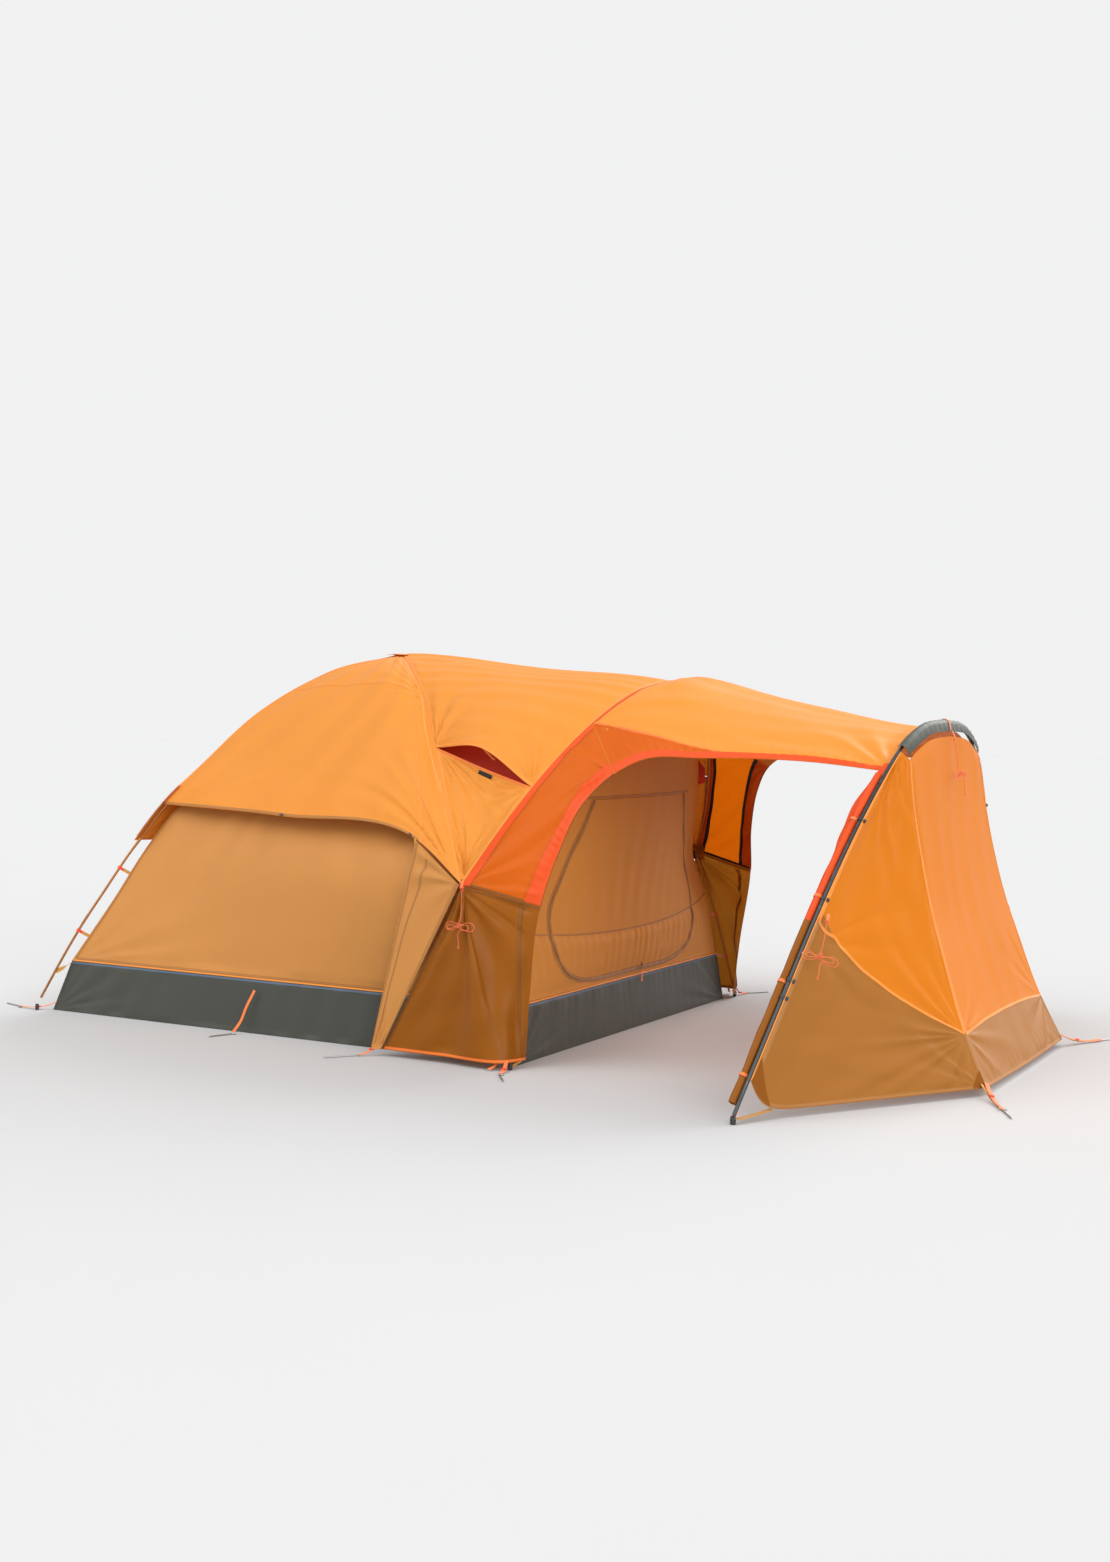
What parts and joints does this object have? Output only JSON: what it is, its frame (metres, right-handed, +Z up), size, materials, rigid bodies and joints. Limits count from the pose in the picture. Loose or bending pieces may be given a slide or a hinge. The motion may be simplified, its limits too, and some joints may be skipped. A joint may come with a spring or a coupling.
{
  "type": "frame tent",
  "caption": "Pitched dome tent with a full rainfly, a hooped vestibule with open side entrances, a zipped inner door and propped roof vents.",
  "frame": {"origin": "on the ground, at the centre of the sleeping floor", "axes": "+X towards the vestibule and along the tent's length, +Y across it towards its far side, +Z up"},
  "size_m": [5.7941, 3.708, 2.0416],
  "materials": {
    "fly": "coated polyester taffeta",
    "canopy": "coated polyester taffeta",
    "facing": "coated polyester taffeta",
    "tan": "woven polyester",
    "dark_tan": "woven polyester",
    "charcoal": "heavy coated polyester",
    "cap_grey": "woven polyester",
    "mesh": "no-see-um mesh",
    "bronze_pole": "bronze anodised",
    "grey_pole": "dark blue-grey anodised",
    "plastic": "moulded nylon",
    "orange_trim": "moulded acetal",
    "cord": "braided cord",
    "steel": "zinc plated"
  },
  "bodies": {
    "shelter": {"floor_sheet": "charcoal", "floor_band_near": "charcoal", "floor_band_far": "charcoal", "floor_band_rear": "charcoal", "floor_band_front": "charcoal", "side_wall_near": "tan", "side_wall_far": "tan", "rear_wall": "tan", "front_wall": "tan", "inner_roof_mesh": "mesh", "dome_pole_a": "bronze_pole", "dome_pole_b": "bronze_pole", "front_leg_near": "bronze_pole", "front_leg_far": "bronze_pole", "pole_hub_near": "plastic", "pole_hub_far": "plastic", "brow_pole": "bronze_pole", "vestibule_hoop": "grey_pole", "pole_foot_rear_near": "plastic", "pole_foot_rear_far": "plastic", "pole_foot_front_near": "plastic", "pole_foot_front_far": "plastic", "pole_foot_hoop_near": "plastic", "pole_foot_hoop_far": "plastic", "fly_side_near": "fly", "fly_side_far": "fly", "fly_rear": "fly", "fly_front_roof": "fly", "vent_panel_near": "fly", "fly_brow_panel_near": "canopy", "fly_gusset_near": "tan", "fly_leg_panel_near": "dark_tan", "rolled_door_near": "facing", "beak_side_near": "canopy", "vent_panel_far": "fly", "fly_brow_panel_far": "canopy", "fly_gusset_far": "tan", "fly_leg_panel_far": "dark_tan", "rolled_door_far": "facing", "beak_side_far": "canopy", "vestibule_canopy": "canopy", "hoop_cap": "cap_grey", "beak_end": "canopy", "peg_rear_near": "steel", "peg_rear_far": "steel", "peg_fly_corner_near": "steel", "peg_fly_corner_far": "steel", "peg_beak_near": "steel", "peg_beak_far": "steel", "guyline_hub_near": "cord", "guyline_hub_far": "cord", "guyline_hoop_near": "cord", "guyline_hoop_far": "cord", "guyline_beak": "cord"},
    "inner_door": {"inner_door": "tan"},
    "zip_slider": {"zip_slider": "orange_trim"},
    "vent_hood_near": {"vent_hood_near": "fly"},
    "vent_hood_far": {"vent_hood_far": "fly"},
    "vent_prop_near": {"vent_prop_near": "plastic"},
    "vent_prop_far": {"vent_prop_far": "plastic"}
  },
  "joints": [
    {"name": "door_lift", "type": "hinge", "parent": "shelter", "child": "inner_door", "pos_m": [1.61, 0, 1.26], "axis": [0, -1, 0], "range_deg": [0, 90]},
    {"name": "zip_slide", "type": "slide", "parent": "inner_door", "child": "zip_slider", "axis": [0, 1, 0], "range_m": [-0.5, 0.25]},
    {"name": "vent_close_near", "type": "hinge", "parent": "shelter", "child": "vent_hood_near", "pos_m": [1.1146, -0.7776, 1.6912], "axis": [0.9613, -0.2016, -0.188], "range_deg": [0, 15]},
    {"name": "vent_close_far", "type": "hinge", "parent": "shelter", "child": "vent_hood_far", "pos_m": [1.1146, 0.7776, 1.6912], "axis": [-0.9613, -0.2016, 0.188], "range_deg": [0, 15]},
    {"name": "prop_fold_near", "type": "hinge", "parent": "vent_hood_near", "child": "vent_prop_near", "pos_m": [1.1561, -0.9694, 1.5233], "axis": [0.9613, -0.2016, -0.188], "range_deg": [0, 45]},
    {"name": "prop_fold_far", "type": "hinge", "parent": "vent_hood_far", "child": "vent_prop_far", "pos_m": [1.1561, 0.9694, 1.5233], "axis": [-0.9613, -0.2016, 0.188], "range_deg": [0, 45]}
  ],
  "couplings": [
    {"joint": "prop_fold_near", "follows": "vent_close_near", "ratio": 3},
    {"joint": "prop_fold_far", "follows": "vent_close_far", "ratio": 3}
  ]
}
